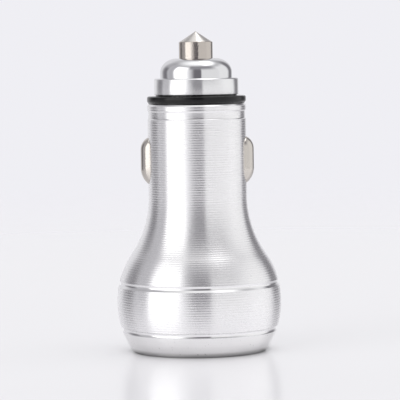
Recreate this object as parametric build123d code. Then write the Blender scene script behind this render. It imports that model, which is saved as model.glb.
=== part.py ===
from build123d import *
import math
import os

os.makedirs("parts", exist_ok=True)

# All sizes are in millimetres. The origin is the middle of the socket face, and +Z points to the tip.

# Gaps
push_gap = 0.05  # each side, between pieces that are pushed together
slide_gap = 0.08  # each side, round a piece that slides
touch_gap = 0.03  # between a spring's end and its seat

# The two charging sockets, to the usual standard, stacked along Y
shell_width = 13.1
shell_height = 5.7
shell_length = 13.8
shell_wall = 0.3
port_pitch = 8.6
tongue_side = 0.7  # room between the tongue and the inside of the shell
tongue_thickness = 1.84
tongue_setback = 1.4  # from the shell's mouth to the tongue's end
tongue_offset = 0.72  # from the shell's inside to the tongue's back
plug_depth = 10.4  # from the shell's mouth to the insulator's block
pin_width = 1.0
pin_thickness = 0.25
pin_places = (-3.5, -1.0, 1.0, 3.5)
pin_tail = 1.7  # past the port board's near face
leaf_width = 1.5
leaf_room = 0.35  # between a leaf and its window, each side
leaf_slope = 4.0  # degrees

# Face plate that closes the socket end
plate_recess = 1.0
plate_thickness = 1.6
skirt_length = 4.0
skirt_wall = 1.1
port_room = 1.05  # between the corners of the sockets and the skirt
window_gap = 0.1  # the plate's window over the opening of the shell, each side
window_lead = 0.4  # chamfer round the windows
lamp_radius = 1.0
lamp_width = 1.6
lamp_height = 0.8
lamp_gap = 0.2
lamp_place = 9.2  # from the middle, along X

# Turned housing
rim_wall = 1.15
ledge_width = 0.7
bulge_swell = 3.1  # how far the bulge stands out over the rim
bulge_height = 10.2
flare_height = 21.6  # from the widest place up to the foot of the barrel
barrel_radius = 10.1
barrel_length = 18.85
barrel_wall = 1.4
lip_height = 1.25
bore_cone = 9.4
rim_round = 0.4
barrel_chamfer = 0.3
low_groove_foot = 4.02
low_groove_width = 1.06
low_groove_depth = 0.36
high_groove_foot = 13.23
high_groove_width = 1.2
high_groove_depth = 0.42
band_drop = 1.4  # from the barrel's end to the flat groove
band_width = 1.6
band_depth = 0.2
band_flank = 0.12

# Insulating ring
ring_overhang = 0.03  # past the barrel
ring_height = 1.61
ring_round = 0.35
ring_bevel_width = 0.35
ring_bevel_height = 0.55
ring_step_height = 0.26
ring_step_inset = 0.33  # in from the collar

# Nose cap
collar_inset = 1.47  # in from the barrel
collar_height = 3.35
collar_round = 0.3
dome_inset = 1.28  # in from the collar
dome_height = 4.08
shoulder_height = 2.9
dome_flat = 0.47  # flat ring round the pin
cap_top_wall = 1.6
neck_radius = 5.93
neck_drop = 0.75  # from the top of the collar to the end of the neck

# Centre contact and its spring
pin_radius = 3.4
pin_reach = 3.4  # from the top of the dome to the foot of the cone
cone_height = 2.15
cone_tip = 0.45
pin_edge = 0.25
flange_step = 1.1
flange_thickness = 1.2
flange_gap = 0.2
pin_travel = 3.0
pin_over_travel = 0.25
pin_wall = 1.05
pin_bore_rise = 1.05  # how far the spring's bore goes past the top of the dome
spring_wire = 0.5
spring_gap = 0.15  # round the spring in the pin's bore
spring_turns = 8

# Side contacts and their springs
contact_drop = 6.8  # from the barrel's end to the top of the contact
contact_length = 9.51
contact_reach = 1.5  # past the barrel
contact_width = 5.8
contact_wall = 0.45
contact_upper_corner = 2.45
contact_lower_corner = 3.16
contact_round = 0.85
contact_knee = 0.9  # radius where the round ends meet the straight sides
contact_travel = 1.4
tab_height = 0.9
tab_gap = 0.1
slot_gap = 0.12
slot_corner = 0.4
side_spring_wire = 0.4
side_spring_radius = 1.8
side_spring_turns = 7
side_bore_gap = 0.2

# Carrier in the barrel
pocket_gap = 0.15
pocket_floor = 1.1
terminal_web = 1.2  # from the pockets up to the spring's terminal
terminal_thickness = 0.6
terminal_width = 4.5
terminal_tail = 1.8
terminal_drop = 3.2
plate_half = 0.3  # half the thickness of the ground plate
ground_width = 4.8
ground_height = 5.4
ground_tail = 1.5
ground_overlap = 2.5  # how far the tail reaches down the main board
lead_radius = 0.75
lead_inset = 2.15  # from the carrier's side in to the middle of the lead
lead_end = -2.4
groove_width = 2.2

# Circuit boards
board_thickness = 1.2
board_room = 0.7
port_board_gap = 0.15
board_tab_width = 3.0
board_tab_place = 7.6
board_top_gap = 0.3


# Sizes that follow from those above

plate_back = plate_recess + plate_thickness
port_corner = math.hypot(shell_width / 2, (port_pitch + shell_height) / 2)
skirt_bore = port_corner + port_room
skirt_radius = skirt_bore + skirt_wall
socket_bore = skirt_radius + push_gap
seat_bore = socket_bore + ledge_width
rim_radius = seat_bore + rim_wall
bulge_radius = rim_radius + bulge_swell
port_board_low = plate_back + shell_length
port_board_top = port_board_low + board_thickness
inner_ledge = socket_bore - ledge_width
bore_radius = barrel_radius - barrel_wall
barrel_foot = bulge_height + flare_height
barrel_top = barrel_foot + barrel_length
bore_top = barrel_top - lip_height
lip_radius = (bore_radius + neck_radius) / 2
ring_radius = barrel_radius + ring_overhang
collar_radius = barrel_radius - collar_inset
ring_step_radius = collar_radius - ring_step_inset
dome_radius = collar_radius - dome_inset
dome_crown = pin_radius + slide_gap + dome_flat
shoulder_width = dome_radius - dome_crown

base_arc = (bulge_height**2 + bulge_swell**2) / (2 * bulge_swell)
flare_arc = (flare_height**2 + barrel_radius**2 - bulge_radius**2) / (2 * (bulge_radius - barrel_radius))
flare_angle = math.atan2(flare_height, barrel_radius + flare_arc)

ring_top = barrel_top + ring_height
cap_seat = ring_top + ring_step_height
collar_top = cap_seat + collar_height
dome_top = collar_top + dome_height
neck_top = collar_top - neck_drop
cap_shoulder = dome_top - cap_top_wall
flange_radius = pin_radius + flange_step
flange_bore = flange_radius + flange_gap
pin_bore_radius = pin_radius - pin_wall
spring_radius = pin_bore_radius - spring_gap
flange_low = cap_shoulder - flange_thickness
flange_floor = flange_low - pin_travel - pin_over_travel
cone_foot = dome_top + pin_reach
spring_top = dome_top + pin_bore_rise

contact_top = barrel_top - contact_drop
contact_low = contact_top - contact_length
contact_middle = (contact_top + contact_low) / 2
contact_face = barrel_radius + contact_reach
tab_face = math.sqrt(bore_radius**2 - (contact_width / 2) ** 2) - tab_gap
tab_back = tab_face - contact_wall
pocket_top = contact_top + tab_height + pocket_gap
pocket_low = contact_low - tab_height - pocket_gap
pocket_back = tab_back - contact_travel - pocket_gap
carrier_low = pocket_low - pocket_floor
carrier_radius = bore_radius - push_gap
lead_place = carrier_radius - lead_inset
terminal_low = pocket_top + terminal_web
spring_seat = terminal_low + terminal_thickness
main_board_top = carrier_low - board_top_gap
board_face = board_thickness / 2
board_foot = inner_ledge - board_room
board_head = bore_radius - board_room
tongue_width = shell_width - 2 * (shell_wall + tongue_side)


def turned(*outline):
    """Turns a closed outline, drawn in radius and height, about Z."""
    edges = outline[0]
    for edge in outline[1:]:
        edges += edge
    return revolve(Plane.XZ * make_face(edges), Axis.Z)


def turned_points(*points):
    """Turns a closed outline of straight runs about Z."""
    return revolve(Plane.XZ * make_face(Polyline(*points, close=True)), Axis.Z)


def box(x_low, x_high, y_low, y_high, z_low, z_high):
    """A box between these places on each axis."""
    middle = ((x_low + x_high) / 2, (y_low + y_high) / 2, (z_low + z_high) / 2)
    return Pos(*middle) * Box(x_high - x_low, y_high - y_low, z_high - z_low)


def rounds_at(solid, radius, height):
    """The round edges of a turned solid with this radius, at this height."""
    found = []
    for edge in solid.edges().filter_by(GeomType.CIRCLE):
        if abs(edge.radius - radius) < 0.01 and abs(edge.arc_center.Z - height) < 0.01:
            found.append(edge)
    return found


def skin_radius(height):
    """Radius of the housing's turned skin at a height, before its grooves."""
    rise = height - bulge_height
    if rise < 0:
        return bulge_radius - base_arc + math.sqrt(base_arc**2 - rise**2)
    if rise < bulge_radius * math.sin(flare_angle):
        return math.sqrt(bulge_radius**2 - rise**2)
    if height < barrel_foot:
        return barrel_radius + flare_arc - math.sqrt(flare_arc**2 - (barrel_foot - height) ** 2)
    return barrel_radius


def round_groove(foot, width, depth):
    """The ring that a round-nosed tool cuts out of the skin, up from a height."""
    low = Vector(skin_radius(foot), 0, foot)
    high = Vector(skin_radius(foot + width), 0, foot + width)
    half = (high - low).length / 2
    nose = (half**2 + depth**2) / (2 * depth)
    along = (high - low).normalized()
    middle = (low + high) / 2 + Vector(along.Z, 0, -along.X) * (nose - depth)
    return turned(CenterArc((middle.X, middle.Z), nose, 90, 360))


def make_housing():
    """One turned shell: barrel, flare, round bulge, tapered base and the bores inside."""
    base_start = math.degrees(math.asin(bulge_height / base_arc))
    flare_turn = math.degrees(flare_angle)
    bend = (barrel_radius + flare_arc, barrel_foot)
    cone_top = port_board_top + bore_cone
    shell = turned(
        Line((seat_bore, 0), (rim_radius, 0)),
        CenterArc((bulge_radius - base_arc, bulge_height), base_arc, -base_start, base_start),
        CenterArc((0, bulge_height), bulge_radius, 0, flare_turn),
        CenterArc(bend, flare_arc, 180 + flare_turn, -flare_turn),
        Polyline(
            (barrel_radius, barrel_foot),
            (barrel_radius, barrel_top - barrel_chamfer),
            (barrel_radius - barrel_chamfer, barrel_top),
            (lip_radius, barrel_top),
            (lip_radius, bore_top),
            (bore_radius, bore_top),
            (bore_radius, cone_top),
            (inner_ledge, port_board_top),
            (socket_bore, port_board_top),
            (socket_bore, plate_back),
            (seat_bore, plate_back),
            (seat_bore, 0),
        ),
    )
    shell = fillet(rounds_at(shell, rim_radius, 0), rim_round)
    shell -= round_groove(low_groove_foot, low_groove_width, low_groove_depth)
    shell -= round_groove(high_groove_foot, high_groove_width, high_groove_depth)
    band_top = barrel_top - band_drop
    shell -= turned_points(
        (barrel_radius - band_depth, band_top - band_flank),
        (barrel_radius - band_depth, band_top - band_width + band_flank),
        (barrel_radius + band_depth, band_top - band_width - band_flank),
        (barrel_radius + band_depth, band_top + band_flank),
    )
    reach = slot_gap + contact_width / 2
    slot = box(0, bulge_radius, -reach, reach, contact_low - slot_gap, contact_top + slot_gap)
    slot = fillet(slot.edges().filter_by(Axis.X), slot_corner)
    for turn in (0, 180):
        shell -= Rot(0, 0, turn) * slot
    return shell


def make_insulating_ring():
    """Black moulded ring that keeps the live cap clear of the barrel."""
    bore = neck_radius + push_gap
    ring = turned_points(
        (bore, barrel_top),
        (ring_radius - ring_bevel_width, barrel_top),
        (ring_radius, barrel_top + ring_bevel_height),
        (ring_radius, ring_top),
        (ring_step_radius, ring_top),
        (ring_step_radius, cap_seat),
        (bore, cap_seat),
    )
    return fillet(rounds_at(ring, ring_radius, ring_top), ring_round)


def make_nose_cap():
    """Turned cap: a wide collar, a round-shouldered dome and the bores for the neck and the pin."""
    bore = neck_radius + push_gap
    step = neck_top + push_gap
    shoulder = dome_top - shoulder_height
    cap = turned(
        Polyline(
            (bore, cap_seat),
            (collar_radius, cap_seat),
            (collar_radius, collar_top),
            (dome_radius, collar_top),
            (dome_radius, shoulder),
        ),
        EllipticalCenterArc((dome_crown, shoulder), shoulder_width, shoulder_height, arc_size=90),
        Polyline(
            (dome_crown, dome_top),
            (pin_radius + slide_gap, dome_top),
            (pin_radius + slide_gap, cap_shoulder),
            (flange_bore, cap_shoulder),
            (flange_bore, step),
            (bore, step),
            (bore, cap_seat),
        ),
    )
    cap = fillet(rounds_at(cap, collar_radius, collar_top), collar_round)
    return chamfer(rounds_at(cap, collar_radius, cap_seat), collar_round / 2)


def make_centre_contact():
    """Turned pin with a coned tip, a flange that stops it in the cap and a blind bore for its spring."""
    pin = turned_points(
        (0, spring_top),
        (pin_bore_radius, spring_top),
        (pin_bore_radius, flange_low),
        (flange_radius, flange_low),
        (flange_radius, cap_shoulder),
        (pin_radius, cap_shoulder),
        (pin_radius, cone_foot - pin_edge),
        (pin_radius - pin_edge / 2, cone_foot),
        (cone_tip, cone_foot + cone_height - cone_tip / 2),
        (0, cone_foot + cone_height),
    )
    return pin


def coil_spring(radius, wire, length, turns):
    """A spring that stands on Z = 0, with a closed ring at each end."""
    middle = radius - wire / 2
    rise = length - wire
    helix = Helix(rise / turns, rise, middle)
    section = Plane(origin=helix @ 0, z_dir=helix % 0) * Circle(wire / 2)
    spring = Pos(0, 0, wire / 2) * sweep(section, path=helix, is_frenet=True)
    for height in (wire / 2, length - wire / 2):
        spring += Pos(0, 0, height) * Torus(middle, wire / 2)
    return spring


def make_contact_spring():
    """Spring that pushes the centre contact out."""
    length = spring_top - spring_seat - 2 * touch_gap
    spring = coil_spring(spring_radius, spring_wire, length, spring_turns)
    return Pos(0, 0, spring_seat + touch_gap) * spring


def channel_outline(inset):
    """Side view of a side contact in X and Z, inset by a wall."""
    face = contact_face - inset
    upper_arc = (contact_reach**2 + contact_upper_corner**2) / (2 * contact_reach)
    lower_arc = (contact_reach**2 + contact_lower_corner**2) / (2 * contact_reach)
    upper_start = contact_top - contact_upper_corner
    lower_start = contact_low + contact_lower_corner
    upper_turn = math.degrees(math.asin((contact_upper_corner - inset) / (upper_arc - inset)))
    lower_turn = math.degrees(math.asin((contact_lower_corner - inset) / (lower_arc - inset)))
    upper = CenterArc((contact_face - upper_arc, upper_start), upper_arc - inset, 0, upper_turn)
    lower = CenterArc((contact_face - lower_arc, lower_start), lower_arc - inset, -lower_turn, lower_turn)
    back = tab_back - inset
    sides = Polyline(upper @ 1, (back, contact_top - inset), (back, contact_low + inset), lower @ 0)
    outline = make_face(upper + Line((face, upper_start), (face, lower_start)) + lower + sides)
    knees = []
    for end in (upper @ 1, lower @ 0):
        knees.append(outline.vertices().sort_by_distance(end)[0])
    return Plane.XZ * fillet(knees, contact_knee - inset)


def make_side_contact():
    """Stamped channel with a round-ended face, and two tabs that hold it inside the barrel."""
    channel = extrude(channel_outline(0), amount=contact_width / 2, both=True)
    rims = [edge for edge in channel.edges() if abs(edge.center().Y) > contact_width / 2 - 0.01]
    channel = fillet([edge for edge in rims if edge.center().X > tab_back + 0.01], contact_round)
    channel -= extrude(channel_outline(contact_wall), amount=contact_width / 2 - contact_wall, both=True)
    reach = contact_width / 2 - contact_round
    tabs = (
        (contact_top - contact_wall, contact_top + tab_height),
        (contact_low - tab_height, contact_low + contact_wall),
    )
    for low, high in tabs:
        channel += box(tab_back, tab_face, -reach, reach, low, high)
    return channel


def make_side_spring():
    """Spring between the ground plate and the inside of a side contact."""
    start = plate_half + touch_gap
    length = contact_face - contact_wall - touch_gap - start
    spring = coil_spring(side_spring_radius, side_spring_wire, length, side_spring_turns)
    return Pos(start, 0, contact_middle) * Rot(0, 90, 0) * spring


def make_carrier():
    """Moulded core: pockets for the side contacts, bores for the springs, and the neck for the cap."""
    core = turned_points(
        (0, carrier_low),
        (carrier_radius, carrier_low),
        (carrier_radius, bore_top - push_gap),
        (lip_radius - push_gap, bore_top - push_gap),
        (lip_radius - push_gap, barrel_top - push_gap),
        (neck_radius, barrel_top - push_gap),
        (neck_radius, neck_top),
        (flange_bore, neck_top),
        (flange_bore, flange_floor),
        (pin_bore_radius, flange_floor),
        (pin_bore_radius, spring_seat + push_gap),
        (0, spring_seat + push_gap),
    )
    reach = contact_width / 2 + pocket_gap
    for side in (0, 180):
        pocket = box(pocket_back, bulge_radius, -reach, reach, pocket_low, pocket_top)
        bore = Pos(pocket_back / 2, 0, contact_middle) * Rot(0, 90, 0)
        bore *= Cylinder(side_spring_radius + side_bore_gap, pocket_back)
        core -= Rot(0, 0, side) * (pocket + bore)
    half = terminal_width / 2 + push_gap
    core -= box(-half, half, -half, bulge_radius, terminal_low - push_gap, spring_seat + push_gap)
    half = groove_width / 2
    start = lead_place - lead_radius - pocket_gap
    core -= box(-half, half, start, bulge_radius, carrier_low, spring_seat + push_gap)
    gap = plate_half + push_gap
    half = ground_width / 2 + push_gap
    core -= box(-gap, gap, -half, half, carrier_low, contact_middle + ground_height / 2 + push_gap)
    return core


def make_spring_terminal():
    """Brass strip under the centre spring, with a tail bent down for the positive lead."""
    half = terminal_width / 2
    tail_face = lead_place + lead_radius + push_gap
    tail_back = tail_face + terminal_thickness
    pad = Pos(0, 0, terminal_low + terminal_thickness / 2) * Cylinder(half, terminal_thickness)
    pad += box(-half, half, 0, half, terminal_low, spring_seat)
    pad += box(-terminal_tail / 2, terminal_tail / 2, 0, tail_back, terminal_low, spring_seat)
    low = spring_seat - terminal_drop
    pad += box(-terminal_tail / 2, terminal_tail / 2, tail_face, tail_back, low, spring_seat)
    boss_radius = spring_radius - spring_wire - push_gap
    pad += Pos(0, 0, spring_seat + terminal_thickness / 2) * Cylinder(boss_radius, terminal_thickness)
    return pad


def make_ground_terminal():
    """Brass plate that both side springs press on, with a tail soldered to the main board."""
    half = ground_width / 2
    low = contact_middle - ground_height / 2
    plate = box(-plate_half, plate_half, -half, half, low, low + ground_height)
    start = board_face + touch_gap
    foot = main_board_top - ground_overlap
    return plate + box(-plate_half, plate_half, start, start + ground_tail, foot, low)


def make_positive_lead():
    """Insulated wire down the carrier's groove and across to the main board."""
    top = terminal_low - push_gap - lead_radius
    turn = carrier_low - lead_radius
    low = turn - lead_radius - board_face
    near = board_face + touch_gap + lead_radius
    path = FilletPolyline(
        (0, lead_place, top),
        (0, lead_place, turn),
        (lead_end, near, low),
        (lead_end, near, low - 2 * lead_radius),
        radius=lead_radius * 1.5,
    )
    section = Plane(origin=path @ 0, z_dir=path % 0) * Circle(lead_radius)
    return sweep(section, path=path)


def make_main_board():
    """Upright board that narrows with the bore, with two tabs through the port board."""
    cone_top = port_board_top + bore_cone
    outline = Polyline(
        (-board_foot, port_board_top),
        (board_foot, port_board_top),
        (board_head, cone_top),
        (board_head, main_board_top),
        (-board_head, main_board_top),
        (-board_head, cone_top),
        close=True,
    )
    board = extrude(Plane.XZ * make_face(outline), amount=board_face, both=True)
    for place in (-board_tab_place, board_tab_place):
        half = board_tab_width / 2
        board += box(place - half, place + half, -board_face, board_face, port_board_low, port_board_top)
    return board


def make_port_board():
    """Round board against the housing's inner ledge, with slots for the tabs and the socket pins."""
    radius = socket_bore - port_board_gap
    board = Pos(0, 0, port_board_low + board_thickness / 2) * Cylinder(radius, board_thickness)
    half = board_tab_width / 2 + push_gap
    for place in (-board_tab_place, board_tab_place):
        side = board_face + push_gap
        board -= box(place - half, place + half, -side, side, port_board_low, port_board_top)
    for middle in (-port_pitch / 2, port_pitch / 2):
        for place in pin_places:
            board -= pin_box(place, middle, push_gap, port_board_low, port_board_top)
    return board


def tongue_face(middle):
    """Where the side of the tongue that carries the contacts lies along Y."""
    return middle - shell_height / 2 + shell_wall + tongue_offset + tongue_thickness


def pin_box(place, middle, gap, low, high):
    """One socket contact, or the room round it, between two heights."""
    half = pin_width / 2 + gap
    face = tongue_face(middle)
    return box(place - half, place + half, face - gap, face + pin_thickness + gap, low, high)


def make_usb_shell(middle):
    """Folded shell of one socket, with two sprung tabs in each wide side."""
    wide, high = shell_width / 2, shell_height / 2
    tube = box(-wide, wide, -high, high, plate_back, port_board_low)
    tube = fillet(tube.edges().filter_by(Axis.Z), 2 * shell_wall)
    wide_in, high_in = wide - shell_wall, high - shell_wall
    inside = box(-wide_in, wide_in, -high_in, high_in, 0, port_board_top)
    tube -= fillet(inside.edges().filter_by(Axis.Z), shell_wall)
    window_low = plate_back + shell_length * 0.22
    window_high = window_low + plug_depth / 2
    half = leaf_width / 2 + leaf_room
    leaf_length = window_high - window_low - leaf_room
    for place in (-shell_width / 4, shell_width / 4):
        tube -= box(place - half, place + half, -shell_height, shell_height, window_low, window_high)
        for side in (-1, 1):
            leaf = Pos(place, side * (high - shell_wall / 2), window_high + leaf_room)
            leaf *= Rot(-side * leaf_slope, 0, 0) * Pos(0, 0, -(leaf_length + leaf_room) / 2)
            tube += leaf * Box(leaf_width, shell_wall, leaf_length + leaf_room)
    return Pos(0, middle, 0) * tube


def make_usb_tongue(middle):
    """Moulded insulator of one socket: the block at the back and the tongue."""
    wide = shell_width / 2 - shell_wall - push_gap
    high = shell_height / 2 - shell_wall - push_gap
    block_low = plate_back + plug_depth
    part = box(-wide, wide, middle - high, middle + high, block_low, port_board_low - push_gap)
    part = fillet(part.edges().filter_by(Axis.Z), shell_wall)
    face = tongue_face(middle)
    half = tongue_width / 2
    part += box(-half, half, face - tongue_thickness, face, plate_back + tongue_setback, block_low)
    for place in pin_places:
        part -= pin_box(place, middle, push_gap, block_low, port_board_low)
    return part


def make_usb_pins(middle):
    """The four contacts of one socket, from the tongue through the block and the port board."""
    low = plate_back + 1.5 * tongue_setback
    pins = [pin_box(place, middle, 0, low, port_board_low + pin_tail) for place in pin_places]
    return Compound(children=pins)


def make_face_plate():
    """Moulded plate with a skirt, two socket windows and the hole for the light guide."""
    plate = turned_points(
        (0, plate_recess),
        (seat_bore - push_gap, plate_recess),
        (seat_bore - push_gap, plate_back - touch_gap),
        (skirt_radius, plate_back - touch_gap),
        (skirt_radius, plate_back + skirt_length),
        (skirt_bore, plate_back + skirt_length),
        (skirt_bore, plate_back - touch_gap),
        (0, plate_back - touch_gap),
    )
    wide = shell_width / 2 - shell_wall + window_gap
    high = shell_height / 2 - shell_wall + window_gap
    for middle in (-port_pitch / 2, port_pitch / 2):
        window = box(-wide, wide, middle - high, middle + high, 0, plate_back)
        plate -= fillet(window.edges().filter_by(Axis.Z), shell_wall)
        mouth = Plane.XY.offset(plate_recess) * Pos(0, middle) * Rectangle(2 * wide, 2 * high)
        plate -= extrude(offset(mouth, window_lead), amount=window_lead, taper=45)
    return plate - Pos(lamp_place, 0, plate_recess) * Cylinder(lamp_radius + push_gap, 3 * plate_thickness)


def make_light_guide():
    """Clear pin from the face plate back to the lamp."""
    length = port_board_low - lamp_height - lamp_gap - plate_recess
    return Pos(lamp_place, 0, plate_recess + length / 2) * Cylinder(lamp_radius, length)


def make_indicator_led():
    """Small lamp under the port board, over the light guide."""
    body = Pos(lamp_place, 0, port_board_low - lamp_height / 2)
    body *= Box(lamp_width, lamp_width / 2, lamp_height)
    return chamfer(body.edges().group_by(Axis.Z)[0], lamp_height / 4)


# Parts on the main board. Heights are over the port board, or down from the main board's top.
board_rise = main_board_top - port_board_top
choke_radius = 2.9
choke_height = 4.2
choke_flange = 0.8
choke_core = 1.5
choke_edge = 6.0  # from the foot of the board's edge in to the choke's middle
choke_rise = 3.9
can_split = 0.9  # between the two cans
can_room = 0.28  # between a can and the bore
can_gap = 0.1
can_groove = 0.25
can_groove_place = 1.3
can_leg = 0.3
can_leg_pitch = 2.5
can_leg_step = 0.8
input_can_foot = 4.9
input_can_head = 1.4
output_can_foot = 1.6
output_can_head = 5.7
edge_room = 1.0  # from the side of the board's upper part in to what stands there
leg_length = 1.0
leg_width = 0.4
leg_thickness = 0.25
leg_pitch = 1.27
mould_chamfer = 0.3
chip_length, chip_width, chip_height = 4.9, 3.9, 1.5
chip_edge = 6.2  # from the foot of the board's edge in to the chip's middle
diode_length, diode_width, diode_height = 4.3, 2.6, 2.1
diode_tab = 0.45
fuse_length, fuse_width, fuse_height = 3.2, 1.6, 1.4
fuse_end = 0.6
resistor_size = (1.6, 0.8, 0.5)
resistor_places = ((-6.4, 1.3), (-4.2, 1.3), (-2.0, 1.3), (-5.3, 2.8))
capacitor_size = (2.0, 1.25, 1.0)
capacitor_places = ((5.8, 2.1), (2.8, 2.1), (2.0, 4.1))  # in from the side, down from the top
control_size = (2.9, 1.6, 1.1)
control_place = (-5.2, 6.6)

# The largest can that lies against the board, clear of the other can and of the bore
can_reach = bore_radius - can_room
can_sum = can_split / 2 + can_gap + board_face + can_reach
can_rest = (can_split / 2) ** 2 + (can_gap + board_face) ** 2 - can_reach**2
can_radius = math.sqrt(can_sum**2 - can_rest) - can_sum
can_place = can_radius + can_split / 2

# The chip, the diode and the fuse share the height of the board
stack_gap = (board_rise - chip_length - diode_width - fuse_width) / 4
chip_place = (board_foot - chip_edge, stack_gap + chip_length / 2)
diode_place = (
    board_head - edge_room - diode_length / 2 - diode_tab,
    2 * stack_gap + chip_length + diode_width / 2,
)
fuse_place = (board_head - edge_room - fuse_length / 2, board_rise - stack_gap - fuse_width / 2)


def make_inductor_core():
    """Drum of the choke, standing on the rear of the main board."""
    x, rise = choke_edge - board_foot, choke_rise
    middle = Pos(x, board_face, port_board_top + rise) * Rot(-90, 0, 0)
    drum = turned_points(
        (0, 0),
        (choke_radius, 0),
        (choke_radius, choke_flange),
        (choke_core, choke_flange),
        (choke_core, choke_height - choke_flange),
        (choke_radius, choke_height - choke_flange),
        (choke_radius, choke_height),
        (0, choke_height),
    )
    return middle * drum


def make_inductor_coil():
    """Copper winding between the flanges of the drum."""
    x, rise = choke_edge - board_foot, choke_rise
    middle = Pos(x, board_face, port_board_top + rise) * Rot(-90, 0, 0)
    low = choke_flange + push_gap
    high = choke_height - choke_flange - push_gap
    bore = choke_core + push_gap
    outside = choke_radius - 2 * push_gap
    winding = turned_points((bore, low), (outside, low), (outside, high), (bore, high))
    rims = rounds_at(winding, outside, high) + rounds_at(winding, outside, low)
    return middle * fillet(rims, push_gap * 6)


def can(length):
    """Electrolytic can along Z from its rubber end, with a rolled groove."""
    body = turned_points(
        (0, 0),
        (can_radius, 0),
        (can_radius, can_groove_place - can_groove),
        (can_radius - can_groove, can_groove_place),
        (can_radius, can_groove_place + can_groove),
        (can_radius, length),
        (0, length),
    )
    return fillet(rounds_at(body, can_radius, length), can_groove)


def can_on_board(x, low, high, legs_up):
    """A can along the front of the main board, with its legs at one end bent to the board."""
    y = -board_face - can_gap - can_radius
    part = Pos(x, y, low) * can(high - low)
    for side in (-can_leg_pitch / 2, can_leg_pitch / 2):
        left, right = side - can_leg, side + can_leg
        part += Pos(x, y, low) * box(left, right, -can_leg, can_leg, -can_leg_step, 0)
        bend = box(left, right, -can_leg, -board_face - y, -can_leg_step, 2 * can_leg - can_leg_step)
        part += Pos(x, y, low) * bend
    if legs_up:
        return part.mirror(Plane.XY.offset((low + high) / 2))
    return part


def make_input_capacitor():
    """Can on the left, with its legs down."""
    low = port_board_top + input_can_foot
    return can_on_board(-can_place, low, main_board_top - input_can_head, False)


def make_output_capacitor():
    """Can on the right, with its legs up."""
    low = port_board_top + output_can_foot
    return can_on_board(can_place, low, main_board_top - output_can_head, True)


def on_front(size, place):
    """A small block on the front face of the main board: length in X, width in Z, height from the board."""
    x, rise = place
    length, width, height = size
    return Pos(x, -board_face - height / 2, port_board_top + rise) * Box(length, height, width)


def on_rear(size, place):
    """The same on the rear face."""
    x, rise = place
    length, width, height = size
    return Pos(x, board_face + height / 2, port_board_top + rise) * Box(length, height, width)


def make_regulator_chip():
    """Converter chip with eight legs."""
    x, rise = chip_place
    z = port_board_top + rise
    low, high = board_face + leg_thickness / 2, board_face + chip_height
    body = box(x - chip_width / 2, x + chip_width / 2, low, high, z - chip_length / 2, z + chip_length / 2)
    body = chamfer(body.faces().sort_by(Axis.Y)[-1].edges(), mould_chamfer)
    wide = chip_width / 2 + leg_length
    half = leg_width / 2
    for row in (-1.5, -0.5, 0.5, 1.5):
        leg = z + row * leg_pitch
        body += box(x - wide, x + wide, board_face, board_face + leg_thickness, leg - half, leg + half)
    return body


def make_diode():
    """Moulded diode with its two end tabs."""
    body = on_rear((diode_length, diode_width, diode_height), diode_place)
    body = chamfer(body.faces().sort_by(Axis.Y)[-1].edges(), mould_chamfer)
    return body + on_rear((diode_length + 2 * diode_tab, diode_width / 2, leg_thickness), diode_place)


def make_fuse():
    """Chip fuse with end caps."""
    inset = 2 * push_gap
    body = on_rear((fuse_length - 2 * fuse_end, fuse_width - inset, fuse_height - inset), fuse_place)
    x, rise = fuse_place
    for side in (-1, 1):
        end = (x + side * (fuse_length - fuse_end) / 2, rise)
        body += on_rear((fuse_end, fuse_width, fuse_height), end)
    return body


def make_chips(size, places):
    """Like chips on the front of the main board."""
    return Compound(children=[on_front(size, place) for place in places])


def top_places(places):
    """Places on the main board from those stated from the upper corner on the right."""
    return [(board_head - inward, board_rise - down) for inward, down in places]


def make_port_control_chips():
    """One small chip for each socket, on top of the port board."""
    x, y = control_place
    length, width, height = control_size
    chips = []
    for side in (-1, 1):
        y_low, y_high = side * y - width / 2, side * y + width / 2
        body = box(x - length / 2, x + length / 2, y_low, y_high, port_board_top, port_board_top + height)
        chips.append(chamfer(body.faces().sort_by(Axis.Z)[-1].edges(), mould_chamfer / 2))
    return Compound(children=chips)


side_contact = make_side_contact()
side_spring = make_side_spring()
half_turn = Rot(0, 0, 180)

pieces = {
    "centre_contact": make_centre_contact(),
    "contact_spring": make_contact_spring(),
    "nose_cap": make_nose_cap(),
    "insulating_ring": make_insulating_ring(),
    "housing": make_housing(),
    "contact_right": side_contact,
    "contact_left": half_turn * side_contact,
    "side_spring_right": side_spring,
    "side_spring_left": half_turn * side_spring,
    "carrier": make_carrier(),
    "spring_terminal": make_spring_terminal(),
    "ground_terminal": make_ground_terminal(),
    "positive_lead": make_positive_lead(),
    "main_board": make_main_board(),
    "port_board": make_port_board(),
    "face_plate": make_face_plate(),
    "light_guide": make_light_guide(),
    "indicator_led": make_indicator_led(),
    "inductor_core": make_inductor_core(),
    "inductor_coil": make_inductor_coil(),
    "input_capacitor": make_input_capacitor(),
    "output_capacitor": make_output_capacitor(),
    "regulator_chip": make_regulator_chip(),
    "diode": make_diode(),
    "fuse": make_fuse(),
    "chip_resistors": make_chips(resistor_size, resistor_places),
    "chip_capacitors": make_chips(capacitor_size, top_places(capacitor_places)),
    "port_control_chips": make_port_control_chips(),
}
for name, middle in (("front", -port_pitch / 2), ("rear", port_pitch / 2)):
    pieces["usb_shell_" + name] = make_usb_shell(middle)
    pieces["usb_tongue_" + name] = make_usb_tongue(middle)
    pieces["usb_pins_" + name] = make_usb_pins(middle)

for name, piece in pieces.items():
    export_step(piece, f"parts/{name}.step")
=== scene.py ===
import math

import bmesh
import bpy
from mathutils import Matrix, Vector


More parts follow.
